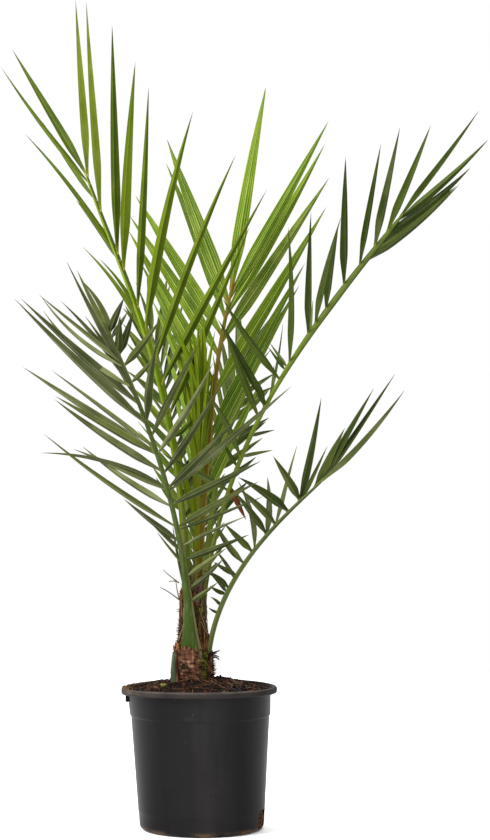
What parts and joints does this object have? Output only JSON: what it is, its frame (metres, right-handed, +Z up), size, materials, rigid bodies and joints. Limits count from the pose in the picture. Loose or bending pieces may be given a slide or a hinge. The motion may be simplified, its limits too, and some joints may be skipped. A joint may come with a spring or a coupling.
{
  "type": "potted canary island date palm",
  "caption": "Young Canary Island date palm with feather-shaped arching fronds on a short fibrous trunk, growing in compost in a round black plastic nursery pot.",
  "frame": {"origin": "centre of the pot's flat underside", "axes": "+Z up; +X across the broad side of the crown, towards the long right-hand frond; +Y from the front of the plant to its back"},
  "size_m": [0.6644, 0.5759, 1.1525],
  "materials": {
    "pot_plastic": "satin",
    "compost": "matte",
    "trunk_fibre": "matte",
    "old_leaf_base": "matte",
    "frond_green": "satin",
    "young_green": "satin"
  },
  "bodies": {
    "root": {"pot": "pot_plastic", "compost": "compost", "trunk": "trunk_fibre", "leaf_stub": "old_leaf_base", "frond_tall_left": "frond_green", "frond_low_left": "frond_green", "frond_high_right": "frond_green", "frond_low_right": "frond_green", "frond_back_left": "frond_green", "frond_back_right": "frond_green", "frond_back_low": "frond_green", "frond_young_centre": "young_green", "frond_spear": "young_green"}
  },
  "joints": []
}
